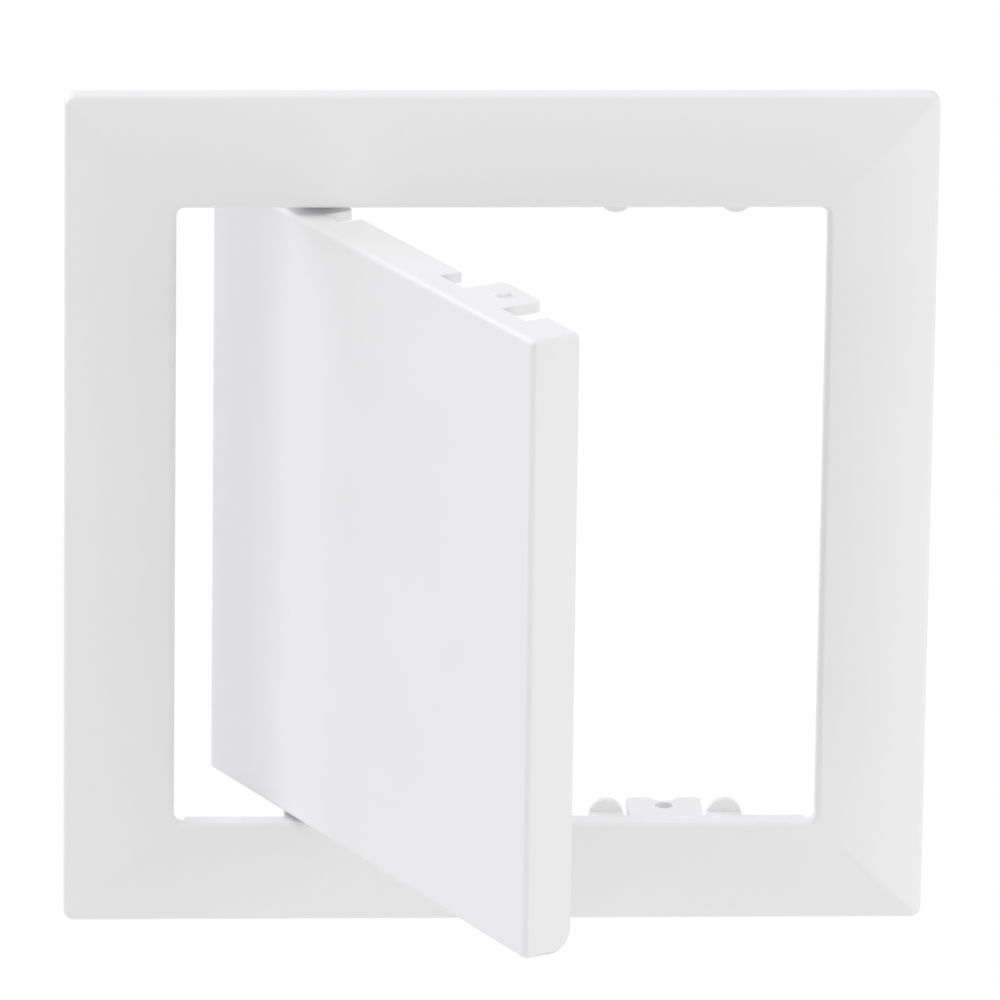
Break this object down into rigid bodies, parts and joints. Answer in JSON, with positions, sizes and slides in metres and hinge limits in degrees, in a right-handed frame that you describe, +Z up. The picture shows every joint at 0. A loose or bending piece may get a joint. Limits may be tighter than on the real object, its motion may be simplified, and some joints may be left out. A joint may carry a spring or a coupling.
{
  "type": "access panel",
  "caption": "Square wall access panel: a flat frame moulding with a shallow arched face, and a flush door that swings on moulded pips and snaps shut on spring tongues",
  "frame": {"origin": "centre of the opening, on the wall plane where the rear edge of the frame's rim rests", "axes": "+X to the right and +Z up as seen from the front, +Y into the wall"},
  "size_m": [0.2, 0.1344, 0.2],
  "materials": {
    "frame_plastic": "satin gloss white moulding",
    "door_plastic": "satin gloss white moulding"
  },
  "bodies": {
    "frame": {"frame": "frame_plastic"},
    "door": {"door": "door_plastic"}
  },
  "joints": [
    {"name": "door_swing", "type": "hinge", "parent": "frame", "child": "door", "pos_m": [-0.04, 0.002, 0], "axis": [0, 0, -1], "range_deg": [-62.3, 80.7]}
  ]
}
